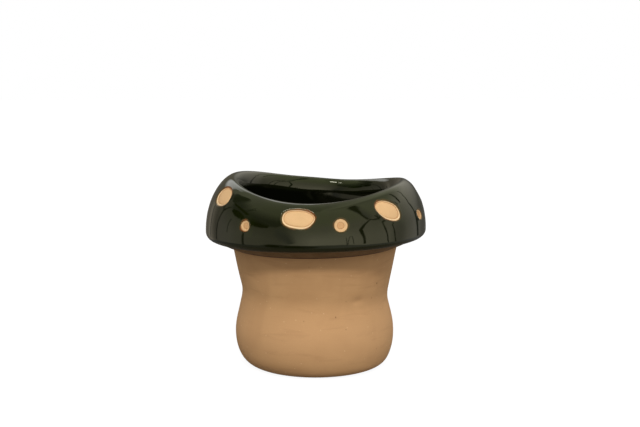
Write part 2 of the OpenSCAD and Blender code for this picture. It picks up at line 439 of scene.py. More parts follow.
TILTS = np.linspace(0.5, 89.5, 400)  # degrees down the dome between which its length is measured
HIDDEN_SEED = 100  # added to a hidden spot's number
HIDDEN_WAVES = [[0.03], [0.02], [0.012]]  # the most of its outline's waves, from the second on


def turned(x, y, degrees):
    return x * cos(degrees) - y * sin(degrees), x * sin(degrees) + y * cos(degrees)


class Window:
    """The block of grid cells round one spot, and the way from distances in millimetres to the dome."""

    def __init__(self, spot, number):
        self.az, self.t, self.a, self.b, slant = spot
        self.turn = -slant
        self.lengths = lengths_along(dome_point(self.az, TILTS, 0.0))
        self.here = np.interp(self.t, TILTS, self.lengths)
        middle = dome_point(self.az, float(self.t), 0.0)
        self.radius = math.hypot(*middle[:2])
        if number < len(OUTLINES):
            self.size, self.waves = OUTLINES[number]
        else:
            random = np.random.default_rng(HIDDEN_SEED + number)
            self.size = 1.0
            self.waves = [(0, 0)] + (random.uniform(-1, 1, (3, 2)) * HIDDEN_WAVES).tolist()
        half_u = math.hypot(self.a * cos(self.turn), self.b * sin(self.turn)) + SPOT_MARGIN
        half_v = math.hypot(self.a * sin(self.turn), self.b * cos(self.turn)) + SPOT_MARGIN
        reach = math.degrees(half_u / self.radius)
        self.first = math.floor((self.az - reach) / COLUMN_STEP)
        self.last = math.ceil((self.az + reach) / COLUMN_STEP)
        downs = np.interp((PLACES - 2) * 90, TILTS, self.lengths) - self.here
        dome_rows = np.flatnonzero((PLACES > 2) & (PLACES < 3))
        self.top = dome_rows[downs[dome_rows] < -half_v].max(initial=dome_rows[0])
        self.bottom = dome_rows[downs[dome_rows] > half_v].min(initial=dome_rows[-1])
        columns = np.arange(self.first, self.last + 1)
        rows = np.arange(self.top, self.bottom + 1)
        self.loop = ([(c, self.top) for c in columns[:-1]] + [(self.last, r) for r in rows[:-1]]
                     + [(c, self.bottom) for c in columns[:0:-1]] + [(self.first, r) for r in rows[:0:-1]])
        u = np.array([math.radians(c * COLUMN_STEP - self.az) * self.radius for c, _ in self.loop])
        v = np.array([downs[r] for _, r in self.loop])
        self.outer = np.column_stack([u, v])
        x, y = turned(u, v, -self.turn)
        self.angle = np.degrees(np.arctan2(y / self.b, x / self.a))
        self.edge = self.oval(self.a, self.b, 0.0)
        self.large = self.b > LARGE_SPOT
        above, below, beside = LARGE_RIM if self.large else np.array(SMALL_RIM) * self.b
        self.floor = self.oval(self.a - beside, self.b - (above + below) / 2, (above - below) / 2)

    def oval(self, a, b, down):
        """Points of the spot's uneven oval at the loop's angles, moved down the dome."""
        swell = self.size
        for k, (across, up) in enumerate(self.waves, 1):
            swell = swell + across * cos(k * self.angle) + up * sin(k * self.angle)
        u, v = turned(a * cos(self.angle) * swell, b * sin(self.angle) * swell, self.turn)
        return np.column_stack([u, v + down])

    def points(self, flat, depth):
        """The dome's points at distances across and down from the spot's middle."""
        az = self.az + np.degrees(flat[:, 0] / self.radius)
        t = np.interp(flat[:, 1] + self.here, self.lengths, TILTS)
        return dome_point(az, t, depth)

    def numbers(self, index):
        """The grid's own points round this block."""
        return np.array([index[c % len(index), r] for c, r in self.loop])

    def mark(self, skip):
        """Marks this block's cells among those to leave out."""
        for c in range(self.first, self.last):
            skip[c % len(skip), self.top:self.bottom] = True

    def rings_outside(self, distances):
        """Rings between the block's loop and the spot's edge, then at the distances from that edge."""
        way = self.outer - self.edge
        reach = np.linalg.norm(way, axis=1)[:, None]
        way = way / reach
        first = distances[0]
        rings = [self.edge + way * (first + share * (reach - first)) for share in (0.75, 0.5, 0.25)]
        return rings + [self.edge + way * d for d in distances]


WINDOWS = [Window(spot, k) for k, spot in enumerate(SPOTS)]

# Sections through the glaze's rolled edge and through the clay's rim: distance from the
# edge or share of the way to the floor, with the depth under the surface
GLAZE_EDGE = [
    (3.0, -0.01), (2.3, -0.05), (1.8, -0.07), (1.4, -0.06), (1.05, -0.01), (0.75, 0.07), (0.5, 0.17),
    (0.3, 0.29), (0.15, 0.43), (0.05, 0.6), (0.0, GLAZE_T)]
CLAY_RIM = [(0.08, 0.01), (0.2, 0.06), (0.4, 0.2), (0.6, 0.4), (0.8, 0.66), (0.93, 0.9), (1.0, 1.0)]
CLAY_FLOOR = [
    (0.975, 0.95), (0.95, 0.75), (0.92, 0.45), (0.88, 0.2), (0.82, 0.06), (0.72, 0.0), (0.58, 0.0),
    (0.42, 0.0), (0.26, 0.0), (0.12, 0.0)]

BEDDING = [0.8, 0.0]  # distances of the clay's rings under the glaze's edge
BACK_RINGS = (-5, -9, 1)  # rings of a spot's outside that the glaze's back repeats
BEAD_TURNS = (30, 60, 90, 120, 150)  # degrees round the glaze's lower end

# Rows of the cap's underside: share of the way from the brim to the hole
UNDER_SHARES = (0.04, 0.15, 0.35, 0.6, 0.85, 0.97)


def spot_cells():
    """The grid cells of the cap's outside that the spots' blocks take the place of."""
    skip = np.zeros((CAP_COLUMNS, len(PLACES) - 1), bool)
    for window in WINDOWS:
        window.mark(skip)
    return skip


def glaze_shell():
    """The cap's glaze: its outside, a rounded lower end, and its inside on the clay."""
    shell = Shell()
    middle = (corner_point(AZIMUTHS, 90.0, 0.0) + corner_point(AZIMUTHS, 90.0, GLAZE_T)) / 2
    inward = around(AZIMUTHS, -1.0, 0.0)
    down = np.array([0, 0, -1.0])
    bead = [middle + GLAZE_T / 2 * (down * cos(turn) + BEAD_BULGE * inward * sin(turn))
            for turn in BEAD_TURNS]
    az = AZIMUTHS[:, None]
    top = shell.add(skin_point(az, PLACES, 0.0), place=PLACES)
    end = shell.add(np.stack(bead, axis=1), place=UNDERNEATH)
    under = shell.add(skin_point(az, PLACES[::-1], GLAZE_T), place=PLACES[::-1])
    skip = spot_cells()
    shell.grid(top, skip)
    shell.grid(np.column_stack([top[:, -1], end, under[:, 0]]))
    shell.grid(under, skip[:, ::-1])
    shell.grid(np.column_stack([under[:, -1], top[:, 0]]))
    under = under[:, ::-1]
    distances, depths = zip(*GLAZE_EDGE)
    for window in WINDOWS:
        rings = window.rings_outside(distances)
        depth_of = [0.0] * (len(rings) - len(depths)) + list(depths)
        edges = [np.minimum(np.linalg.norm(ring - window.edge, axis=1), FAR) for ring in rings]
        behind = [(rings[k], GLAZE_T, 0.0) for k in BACK_RINGS]
        last = shell.strip(window, window.numbers(top), list(zip(rings, depth_of, edges)) + behind)
        shell.bridge(last, window.numbers(under))
    return shell


def clay_shell():
    """The cap's clay: skin under the glaze, spots, underside, hole round the stem and the space inside."""
    shell = Shell()
    az = AZIMUTHS
    skin_depth = GLAZE_T + CLAY_GAP
    skin = skin_point(az[:, None], PLACES, skin_depth)
    brim = skin[:, -1]
    hole = cap_point(az, HOLE_R, SEAM_Z + lean_at(az, HOLE_R), 0)
    sag = np.array([0, 0, UNDER_SAG])
    under = [brim + (hole - brim) * share - sag * sin(180 * share) for share in UNDER_SHARES]
    hole_top = hole + np.array([0, 0, COLLAR_H])
    rest = np.stack(under + [hole, (hole + hole_top) / 2, hole_top] + void_section(az)[::-1], axis=1)
    places = np.full(rest.shape[1], UNDERNEATH)
    places[:len(UNDER_SHARES)] = 3 + np.array(UNDER_SHARES)
    top = shell.add(skin, place=PLACES)
    other = shell.add(rest, place=places)
    shell.grid(top, spot_cells())
    shell.grid(np.column_stack([top[:, -1], other, top[:, 0]]))
    for window in WINDOWS:
        bare = 1.0 if window.large else SMALL_SHARE
        deep = RIM_DEPTH * bare
        middle = window.floor.mean(axis=0)
        rings = [(ring, skin_depth, 0.0) for ring in window.rings_outside(BEDDING)]
        rings += [(window.edge + (window.floor - window.edge) * share, skin_depth + deep * depth, share)
                  for share, depth in CLAY_RIM]
        for share, low in CLAY_FLOOR:
            rise = FLOOR_RISE * (1 - low) - FLOOR_DISH * (1 - share * share)
            rings.append((middle + (window.floor - middle) * share, skin_depth + deep - rise, 2 - share))
        last = shell.strip(window, window.numbers(top), rings, bare)
        depth = skin_depth + deep - (FLOOR_RISE - FLOOR_DISH)
        centre = shell.add(window.points(middle[None, :], depth), bare=bare, edge=2.0)
        shell.fan(last, centre[0])
    return shell


def revolve(outline, surface, columns):
    """A closed outline of radius and height taken round the axis over an uneven surface."""
    shell = Shell()
    az = (np.arange(columns) * 360 / columns)[:, None]
    index = shell.add(surface(az, outline[None, :, 0], outline[None, :, 1]))
    shell.grid(np.column_stack([index, index[:, 0]]))
    return shell


def stem_shell():
    """The pot: foot ring with its recess, uneven outside, plain inside and drain hole."""
    ring_in = FOOT_R - FOOT_RING
    base = base_curve(FOOT_R, 0, BELLY_R, BASE_STEPS)
    outside = evenly(np.vstack([base, side_curve(0, POT_RIM_Z, CURVE_STEPS)]), STEM_ROW)[1:]
    inside = evenly(inside_curve(0, POT_RIM_Z, CURVE_STEPS)[::-1], INSIDE_ROW)
    foot = [[DRAIN_R + CHAMFER, RECESS_H], [ring_in - RECESS_H, RECESS_H],
            [ring_in - RECESS_H / 2, RECESS_H / 2 + 0.2], [ring_in, 0.15], [ring_in + CHAMFER, 0],
            [FOOT_R - TOE_IN, 0]]
    drain = [[DRAIN_R + CHAMFER, FLOOR_Z], [DRAIN_R, FLOOR_Z - CHAMFER], [DRAIN_R, FLOOR_Z / 2 + 1],
             [DRAIN_R, RECESS_H + CHAMFER]]
    toe = rounded([FOOT_R + TOE_OUT, 0], foot[-1], outside[3], TOE_ROUND)
    outline = np.vstack([foot, toe, outside[3:], inside, drain])

    def surface(az, r, z):
        outer = r > np.interp(z, outside[:, 1], outside[:, 0]) - POT_WALL / 2
        return np.where(outer[..., None], stem_surface(az, r, z), around(az, r, z))
    return revolve(outline, surface, STEM_COLUMNS)


def liner_shell():
    """The liner glaze: a coat of even thickness with a rounded end round the drain hole."""
    bare_r = DRAIN_R + DRAIN_BARE
    back = inside_curve(0, LIP_Z, CURVE_STEPS)
    front = inside_curve(GLAZE_T, LIP_Z, CURVE_STEPS)
    end = [[bare_r, FLOOR_Z], [bare_r - 0.1, FLOOR_Z + 0.25], [bare_r + 0.1, FLOOR_Z + 0.6],
           [bare_r + 0.6, FLOOR_Z + GLAZE_T]]
    outline = np.vstack([end, evenly(front, LINER_ROW), evenly(back[::-1], LINER_BACK_ROW)])
    return revolve(outline, around, STEM_COLUMNS)


def placed(name, data):
    """A new object in the scene."""
    made = bpy.data.objects.new(name, data)
    scene.collection.objects.link(made)
    return made


def placed_mesh(name, points, faces, values):
    """A new mesh object, with values for its points."""
    mesh = bpy.data.meshes.new(name)
    mesh.from_pydata(np.array(points).tolist(), [], faces)
    for label, numbers in values.items():
        attribute = mesh.attributes.new(label, "FLOAT", "POINT")
        attribute.data.foreach_set("value", np.array(numbers, np.float32))
    return placed(name, mesh)


def make_piece(name, shell, material, node, crease=50):
    """A mesh object from a shell, smooth but for its creases, riding on the part in place of a node."""
    bpy.ops.object.select_all(action="DESELECT")
    piece = placed_mesh(name, np.array(shell.points) * MM, shell.faces, shell.values)
    mesh = piece.data
    bpy.context.view_layer.objects.active = piece
    piece.select_set(True)
    bpy.ops.object.mode_set(mode="EDIT")
    bpy.ops.mesh.select_all(action="SELECT")
    bpy.ops.mesh.normals_make_consistent(inside=False)
    bpy.ops.object.mode_set(mode="OBJECT")
    mesh.shade_smooth()
    mesh.set_sharp_from_angle(angle=math.radians(crease))
    mesh.materials.append(material)
    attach(piece, "root")
    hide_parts(node)
    return piece


# ---- Materials ----

WHITE = (1, 1, 1, 1)


class Nodes:
    """Short calls for building one node tree."""

    def __init__(self, tree):
        self.tree = tree
        self.colour = WHITE
        tree.nodes.clear()

    def add(self, kind, inputs=None, **settings):
        """A new node. Each input, by name or number, gets a value or a link from an output."""
        node = self.tree.nodes.new("ShaderNode" + kind)
        for name, value in settings.items():
            setattr(node, name, value)
        for name, value in (inputs or {}).items():
            if isinstance(value, bpy.types.NodeSocket):
                self.tree.links.new(value, node.inputs[name])
            else:
                node.inputs[name].default_value = value
        return node

    def out(self, kind, inputs=None, **settings):
        """The first output of a new node."""
        return self.add(kind, inputs, **settings).outputs[0]

    def position(self, stretch=(1, 1, 1)):
        where = self.add("TexCoord").outputs["Object"]
        if stretch == (1, 1, 1):
            return where
        return self.out("Mapping", {"Vector": where, "Scale": stretch})

    def noise(self, scale, detail=2.0, rough=0.5, warp=0.0, stretch=(1, 1, 1)):
        inputs = {"Vector": self.position(stretch), "Scale": scale, "Detail": detail,
                  "Roughness": rough, "Distortion": warp}
        return self.add("TexNoise", inputs).outputs["Fac"]

    def specks(self, scale, stretch, size, channel, rarity):
        """Rare scattered dots: 1 inside the smaller size and 0 outside the larger."""
        dots = self.add("TexVoronoi", {"Vector": self.position(stretch), "Scale": scale}).outputs
        chance = self.add("SeparateColor", {"Color": dots["Color"]}).outputs[channel]
        return self.times(self.fall(dots["Distance"], *size), self.span(chance, *rarity))

    def span(self, value, low, high, to_low=0.0, to_high=1.0):
        """A value's range low to high taken to another, and held there past its ends."""
        return self.out("MapRange", {"Value": value, "From Min": low, "From Max": high,
                                     "To Min": to_low, "To Max": to_high})

    def fall(self, value, low, high, top=1.0):
        """Its top below the range, 0 above it."""
        return self.span(value, low, high, top, 0.0)

    def band(self, value, rise, fall):
        """1 between the ranges of a value over which it rises from 0 and falls to 0."""
        return self.times(self.span(value, *rise), self.fall(value, *fall))

    def maths(self, what, one, other=0.0):
        return self.out("Math", {0: one, 1: other}, operation=what)

    def times(self, one, other):
        return self.maths("MULTIPLY", one, other)

    def plus(self, one, other):
        return self.maths("ADD", one, other)

    def mix(self, factor, one, other, blend="MIX"):
        inputs = {"Factor": factor, 6: one, 7: other}
        return self.add("Mix", inputs, data_type="RGBA", blend_type=blend).outputs[2]

    def paint(self, share, colour):
        """Puts a share of a colour over the material's colour so far."""
        self.colour = self.mix(share, self.colour, colour)

    def ramp(self, value, reach, stops):
        """Grey levels at places between minus and plus the reach of a value."""
        node = self.add("ValToRGB", {"Fac": self.span(value, -reach, reach)})
        marks = node.color_ramp.elements
        while len(marks) < len(stops):
            marks.new(0.5)
        for mark, (place, level) in zip(marks, stops):
            mark.position = (place + reach) / (2 * reach)
            mark.color = (level, level, level, 1)
        return node.outputs[0]

    def attribute(self, name):
        return self.add("Attribute", attribute_name=name).outputs["Fac"]

    def bump(self, height, strength, distance):
        return self.out("Bump", {"Height": height, "Strength": strength, "Distance": distance})

    def glow(self, strength):
        return self.out("Emission", {"Color": WHITE, "Strength": strength})

    def choose(self, factor, one, other):
        """One shader where the factor is 0, the other where it is 1."""
        return self.out("MixShader", {"Fac": factor, 1: one, 2: other})

    def surface(self, shader, kind="OutputMaterial"):
        self.add(kind, {"Surface": shader})


def material(name):
    made = bpy.data.materials.new(name)
    made.use_nodes = True
    return made, Nodes(made.node_tree)


def rgb(red, green, blue):
    """A colour as seen on a screen, from 0 to 255, as a linear one."""
    def line(c):
        c = c / 255
        return c / 12.92 if c <= 0.04045 else ((c + 0.055) / 1.055) ** 2.4
    return (line(red), line(green), line(blue), 1.0)


# Heights in metres between which the stem's belly is painted paler, and darker again: painted light, where
# the lamp falls most
BELLY_PAINTED_LIGHT_BAND = ((0.012, 0.036), (0.050, 0.074))
CLAY_BUMP = 0.0004  # metres
GLAZE_BUMP = 0.0005
PIT_BROWN = rgb(104, 70, 46)
GRAIN_PALE = rgb(235, 205, 165)
SPOT_PALE = (rgb(224, 183, 132), rgb(216, 177, 127))
# Painted shade: the cap's underside, painted far darker than the stem's clay
UNDERSIDE_SHADE_BROWN = (rgb(106, 82, 50), rgb(94, 72, 42))
# A dark slip smear by the seam, darkened further as painted shade of the seam's crease
SEAM_SLIP_AND_SHADE = rgb(50, 28, 10)
BRIM_DARK = rgb(48, 34, 18)
# Painted light: the large spots' rims, widest below where their wall faces up
SPOT_RIM_LIT = rgb(232, 203, 158)
# Painted shade: the small spots' floors, darker than their rims
SMALL_FLOOR_SHADE = rgb(196, 148, 98)
# Painted shade in the groove round each spot's floor
GROOVE_SHADE_BROWN = rgb(158, 98, 50)
STAIN_BROWN = rgb(138, 84, 40)
GRAIN_BROWN = rgb(170, 120, 80)
# Painted shade: the glaze down the mouth and the liner, blacker than the cap's outside
GLAZE_INSIDE_SHADE = rgb(6, 7, 3)
GLAZE_END = rgb(14, 10, 4)
GLAZE_OLIVE = rgb(66, 58, 26)
GLAZE_AMBER = rgb(108, 62, 26)
GLAZE_RUST = rgb(146, 82, 36)
GLAZE_TINT = (1.0, 1.0, 0.76, 1.0)  # colour of what the glaze mirrors


def clay_material(name, base, light, dark, grit, belly=None):
    """Bare fired clay: clouded, with fine grain, dark pits, pale grains and turning marks; given a belly
    colour, also a band of painted light that makes the belly paler.
    """
    made, n = material(name)
    cloud = n.span(n.noise(28, detail=3, rough=0.55, warp=0.6), 0.35, 0.68)
    n.colour = n.mix(cloud, base, light)
    if belly:
        height = n.add("SeparateXYZ", {"Vector": n.position()}).outputs[2]
        # painted light: a band over the belly painted paler than the rest of the stem
        n.paint(n.band(height, *BELLY_PAINTED_LIGHT_BAND), belly)
    smear = n.noise(30, warp=1.0, stretch=(1, 1, 0.6))
    n.paint(n.span(smear, 0.5, 0.8, 0.0, 0.3), dark)
    streaks = n.noise(34, detail=3, rough=0.6, warp=0.6, stretch=(0.5, 0.5, 3.2))
    n.paint(n.span(streaks, 0.5, 0.72, 0.0, 0.35), light)
    n.paint(n.span(streaks, 0.46, 0.28, 0.0, 0.4), dark)
    grain = n.noise(1400, rough=0.6)
    n.paint(n.span(grain, 0.3, 0.7, 0.0, 0.16), dark)
    pit = n.specks(210.0, (1, 1, 0.6), size=(0.07, 0.15), channel=0, rarity=(0.93, 0.99))
    pit = n.times(pit, grit)
    n.paint(pit, PIT_BROWN)
    pale = n.specks(330.0, (1, 1, 1.2), size=(0.12, 0.25), channel=1, rarity=(0.93, 0.95))
    n.paint(n.times(pale, 0.35 * grit), GRAIN_PALE)
    rings = n.noise(60, detail=3, rough=0.6, warp=0.2, stretch=(0.12, 0.12, 2.6))
    height = n.plus(n.times(grain, 0.10), n.times(rings, 0.5))
    height = n.maths("SUBTRACT", height, n.times(pit, 0.5))
    n.surface(n.out("BsdfPrincipled", {
        "Base Color": n.colour, "Normal": n.bump(height, 0.5, CLAY_BUMP), "Specular IOR Level": 0.25,
        "Roughness": n.span(cloud, 0, 1, 0.82, 0.93)}))
    return made


def cap_clay_material():
    """The cap's clay: pale in the spots, with painted light on the large spots' rims; underneath it is
    browner with painted shade, darker still next to the brim's edge, and painted shade also darkens the
    seam's crease, the spots' grooves and the small spots' floors.
    """
    made, n = material("cap_clay")
    bare = n.attribute("bare")
    cloud = n.span(n.noise(90, detail=3, rough=0.6, warp=0.4), 0.3, 0.7)
    place = n.attribute("place")
    # painted shade: the underside's brown, darker than the stem's clay
    shaded_underside = n.mix(cloud, *UNDERSIDE_SHADE_BROWN)
    # painted shade of the seam's crease, over a dark slip smear
    shaded_underside = n.mix(n.span(place, 3.80, 3.93), shaded_underside, SEAM_SLIP_AND_SHADE)
    shaded_underside = n.mix(n.fall(place, 3.02, 3.16, 0.6), shaded_underside, BRIM_DARK)
    n.colour = n.mix(n.span(bare, 0.0, 0.86), shaded_underside, n.mix(cloud, *SPOT_PALE))
    edge = n.attribute("edge")
    # painted light: a paler band on the large spots' rims, widest below
    lit_rim = n.times(n.band(edge, (0.1, 0.25), (0.6, 0.85)), n.span(bare, 0.85, 0.95))
    n.paint(lit_rim, SPOT_RIM_LIT)
    # painted shade: the small spots' floors painted darker
    floor = n.times(n.span(edge, 1.0, 1.04), n.span(bare, 0.7, 0.8))
    small = n.fall(bare, 0.85, 0.95, 0.7)
    n.paint(n.times(floor, small), SMALL_FLOOR_SHADE)
    # painted shade in the groove round each floor
    groove_shade = n.times(n.band(edge, (0.7, 0.93), (1.0, 1.05)), bare)
    n.paint(n.times(groove_shade, 0.6), GROOVE_SHADE_BROWN)
    patch = n.span(n.noise(70, detail=1), 0.45, 0.62, 0.25, 0.8)
    stain = n.times(n.fall(edge, 0.0, 0.14), n.times(patch, bare))
    n.paint(stain, STAIN_BROWN)
    grain = n.noise(1300, rough=0.6)
    n.paint(n.span(grain, 0.3, 0.7, 0.0, 0.12), GRAIN_BROWN)
    soft = n.noise(260)
    height = n.plus(n.times(grain, 0.12), n.times(soft, 0.4))
    n.surface(n.out("BsdfPrincipled", {
        "Base Color": n.colour, "Normal": n.bump(height, 0.5, CLAY_BUMP), "Specular IOR Level": 0.3,
        "Roughness": n.span(cloud, 0, 1, 0.75, 0.9)}))
    return made


def glaze_material(name, deep, thin, on_cap):
    """Glossy glaze: near black green, with painted shade making it blacker down the mouth, amber at a
    spot's edge, and a dull brown where it ends under the brim."""
    made, n = material(name)
    cloud = n.span(n.noise(22, detail=3, rough=0.55, warp=0.8), 0.3, 0.75)
    rough = n.span(n.noise(75), 0.3, 0.7, 0.03, 0.06)
    if on_cap:
        place = n.attribute("place")
        cloud = n.times(cloud, n.span(place, 2.2, 2.8, 1.0, 0.15))
    n.colour = n.mix(cloud, deep, thin)
    if on_cap:
        # painted shade: blacker down the lip's wall and the roll's lower part
        n.paint(n.fall(place, 0.9, 1.7), GLAZE_INSIDE_SHADE)
        end = n.span(place, 3.35, 3.75)
        n.paint(end, GLAZE_END)
        rough = n.plus(rough, n.times(end, 0.4))
        edge = n.attribute("edge")
        rough = n.plus(rough, n.fall(edge, 0.1, 1.2, 0.28))
        wander = n.span(n.noise(120), 0.3, 0.7, -0.5, 0.6)
        near = n.plus(edge, wander)
        n.paint(n.fall(near, 0.1, 1.6, 0.85), GLAZE_OLIVE)
        strong = n.span(n.noise(70, detail=1), 0.45, 0.62, 0.12, 1.0)
        amber = n.times(n.fall(near, 0.2, 1.9), strong)
        n.paint(amber, GLAZE_AMBER)
        rust = n.times(n.fall(edge, 0.02, 0.6), strong)
        n.paint(rust, GLAZE_RUST)
    skin = n.noise(38, rough=0.45, warp=0.3)
    fine = n.noise(160)
    height = n.plus(skin, n.times(fine, 0.06))
    n.surface(n.out("BsdfPrincipled", {
        "Base Color": n.colour, "Roughness": rough, "Normal": n.bump(height, 0.35, GLAZE_BUMP),
        "IOR": 1.5, "Specular Tint": GLAZE_TINT}))
    return made


# belly: the paler colour of the painted light on the stem's belly
stem_clay = clay_material("bare_clay", base=rgb(190, 147, 101), light=rgb(198, 155, 108),
                          dark=rgb(172, 130, 88), grit=1.0, belly=rgb(200, 156, 110))
# the joints' slip: a dark slip, darkened further as painted shade of the creases where the cap meets the
# pot
slip_and_crease_shade = clay_material("clay_slip", base=rgb(56, 32, 13), light=rgb(64, 38, 17),
                          dark=rgb(44, 26, 11), grit=0.5)
cap_clay = cap_clay_material()
cap_green = glaze_material("green_glaze", deep=rgb(16, 18, 4), thin=rgb(26, 33, 7), on_cap=True)
# the liner's blacker greens are painted shade inside the pot
liner_green = glaze_material("liner_glaze", deep=GLAZE_INSIDE_SHADE, thin=rgb(9, 10, 5), on_cap=False)

# ---- The object's pieces ----

make_piece("stem_pot_body", stem_shell(), stem_clay, "stem_pot")
make_piece("cap_clay_ring", clay_shell(), cap_clay, "cap_body")
make_piece("cap_glaze_coat", glaze_shell(), cap_green, "cap_glaze", crease=70)
make_piece("liner_glaze_coat", liner_shell(), liner_green, "liner_glaze", crease=60)
for node in ("seam_slip", "lip_slip"):
    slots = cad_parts[node].data.materials
    slots.clear()
    slots.append(slip_and_crease_shade)

# ---- Studio ----

scene.view_settings.view_transform = "Standard"

FLOOR_HALF = 6.0  # metres, half the floor's width
FLOOR_GLOW = 0.93  # share of the floor's white that no shadow touches
FLOOR_SHADED = (0.14, 0.14, 0.14, 1)  # what the shadow takes away from
FLOOR_BOUNCE = (0.34, 0.33, 0.32, 1)  # colour of the floor that lights the object from below
FLOOR_DARK = (0.20, 0.18, 0.14, 1)  # colour of the floor that the glaze mirrors
FLOOR_MIRRORED = (0.22, 0.34)  # metres out, over which the glaze stops mirroring the floor


def way_to(azimuth, elevation):
    """The direction of a point in the studio, its azimuth from the front towards the right."""
    return np.array([sin(azimuth) * cos(elevation), -cos(azimuth) * cos(elevation), sin(elevation)])


def make_floor():
    """White with a faint shadow to the camera, darker to the bounce light and the glaze."""
    corners = [(-1, -1, 0), (1, -1, 0), (1, 1, 0), (-1, 1, 0)]
    floor = placed_mesh("floor", np.array(corners) * FLOOR_HALF, [(0, 1, 2, 3)], {})
    made, n = material("floor_white")
    path = n.add("LightPath")
    glossy = path.outputs["Is Glossy Ray"]
    near = n.out("BsdfDiffuse", {"Color": n.mix(glossy, FLOOR_BOUNCE, FLOOR_DARK)})
    shaded = n.out("BsdfDiffuse", {"Color": FLOOR_SHADED})
    seen = n.out("AddShader", {0: shaded, 1: n.glow(FLOOR_GLOW)})
    reach = n.add("VectorMath", {"Vector": n.position()}, operation="LENGTH").outputs["Value"]
    away = n.times(n.span(reach, *FLOOR_MIRRORED), glossy)
    unseen = n.choose(away, near, n.out("BsdfTransparent"))
    n.surface(n.choose(path.outputs["Is Camera Ray"], unseen, seen))
    floor.data.materials.append(made)


# What the glaze mirrors: brightness by azimuth, low, in the middle and high up, and of the ground
STUDIO_LOW = [
    (-180, 0.15), (-158, 0.16), (-150, 0.22), (-143, 0.45), (-134, 0.33), (-126, 0.22), (-118, 0.36),
    (-100, 0.55), (-62, 0.58), (-35, 0.5), (-15, 1.1), (-4, 1.45), (32, 1.35), (50, 1.15), (62, 1.05),
    (80, 1.0), (89, 0.6), (98, 0.5), (108, 0.65), (122, 0.6), (134, 0.4), (140, 0.25), (150, 0.15),
    (180, 0.12)]
STUDIO_MIDDLE = [
    (-180, 0.25), (-150, 0.25), (-140, 0.35), (-125, 0.3), (-110, 0.28), (-90, 0.36), (-35, 0.36),
    (-15, 0.8), (20, 0.85), (58, 0.85), (68, 0.7), (104, 0.85), (112, 1.12), (130, 1.15), (150, 1.1),
    (165, 1.15), (172, 0.8), (180, 0.25)]
STUDIO_HIGH = [
    (-180, 0.55), (-155, 0.5), (-135, 0.55), (-50, 0.5), (-10, 0.74), (60, 0.84), (110, 0.72), (135, 0.55),
    (143, 0.75), (150, 0.9), (163, 0.8), (180, 0.55)]
GROUND = [
    (-180, 0.12), (-130, 0.15), (-110, 0.18), (-60, 0.22), (-50, 0.15), (-40, 0.1), (-10, 0.12), (5, 0.35),
    (30, 0.45), (120, 0.4), (150, 0.2), (180, 0.12)]
# Elevations over which the low brightness gives way to the middle one, and that to the high one
LOW_TO_MIDDLE = (4, 30)
MIDDLE_TO_HIGH = (34, 52)
# Colours of the middle, of the same at the back left from one azimuth to another, and of the top
WALL_TINT = (1.05, 1.0, 0.88, 1)
WARM_TINT = (1.12, 1.0, 0.80, 1)
WARM_FROM = (-110, -135)
CEILING_TINT = (1.0, 1.03, 0.76, 1)
# Where the ground ends: degrees below the horizon by azimuth, and the width of its soft edge
GROUND_LINE = [(-180, 20), (-115, 18), (-60, 15), (-48, 7.5), (25, 7.5), (52, 15), (110, 18), (180, 20)]
GROUND_EDGE = (-1.5, 1.5)
# Soft light on the clay by elevation, and its share by azimuth
FILL = [(-90, 0.10), (-4, 0.12), (11, 0.16), (23, 1.3), (46, 1.3), (58, 0.45), (90, 0.35)]
FILL_SHARE = [
    (-180, 0.75), (-135, 0.70), (-90, 0.60), (-45, 0.88), (0, 1.15), (45, 1.15), (90, 1.08), (135, 0.85),
    (180, 0.75)]


def make_world():
    """White to the camera, uneven grey to the glaze, and a soft fill to the clay."""
    world = bpy.data.worlds.new("studio")
    scene.world = world
    world.use_nodes = True
    n = Nodes(world.node_tree)
    way = n.add("SeparateXYZ", {"Vector": n.add("TexCoord").outputs["Generated"]})
    x, y, z = way.outputs
    azimuth = n.times(n.maths("ARCTAN2", x, n.times(y, -1.0)), math.degrees(1))
    elevation = n.times(n.maths("ARCSINE", z), math.degrees(1))
    ground, low, middle, high = (n.ramp(azimuth, 180, stops)
                                 for stops in (GROUND, STUDIO_LOW, STUDIO_MIDDLE, STUDIO_HIGH))
    level = n.mix(n.span(elevation, *LOW_TO_MIDDLE), low, middle)
    wall = n.mix(n.span(azimuth, *WARM_FROM), WALL_TINT, WARM_TINT)
    level = n.mix(1.0, level, wall, "MULTIPLY")
    ceiling = n.mix(1.0, high, CEILING_TINT, "MULTIPLY")
    level = n.mix(n.span(elevation, *MIDDLE_TO_HIGH), level, ceiling)
    line = n.ramp(azimuth, 180, [(place, below / 90) for place, below in GROUND_LINE])
    above = n.plus(elevation, n.times(line, 90.0))
    level = n.mix(n.span(above, *GROUND_EDGE), ground, level)
    fill = n.mix(1.0, n.ramp(elevation, 90, FILL), n.ramp(azimuth, 180, FILL_SHARE), "MULTIPLY")
    fill, mirrored, white = (n.out("Background", {"Color": shade}) for shade in (fill, level, WHITE))
    path = n.add("LightPath")
    unseen = n.choose(path.outputs["Is Glossy Ray"], fill, mirrored)
    n.surface(n.choose(path.outputs["Is Camera Ray"], unseen, white), "OutputWorld")


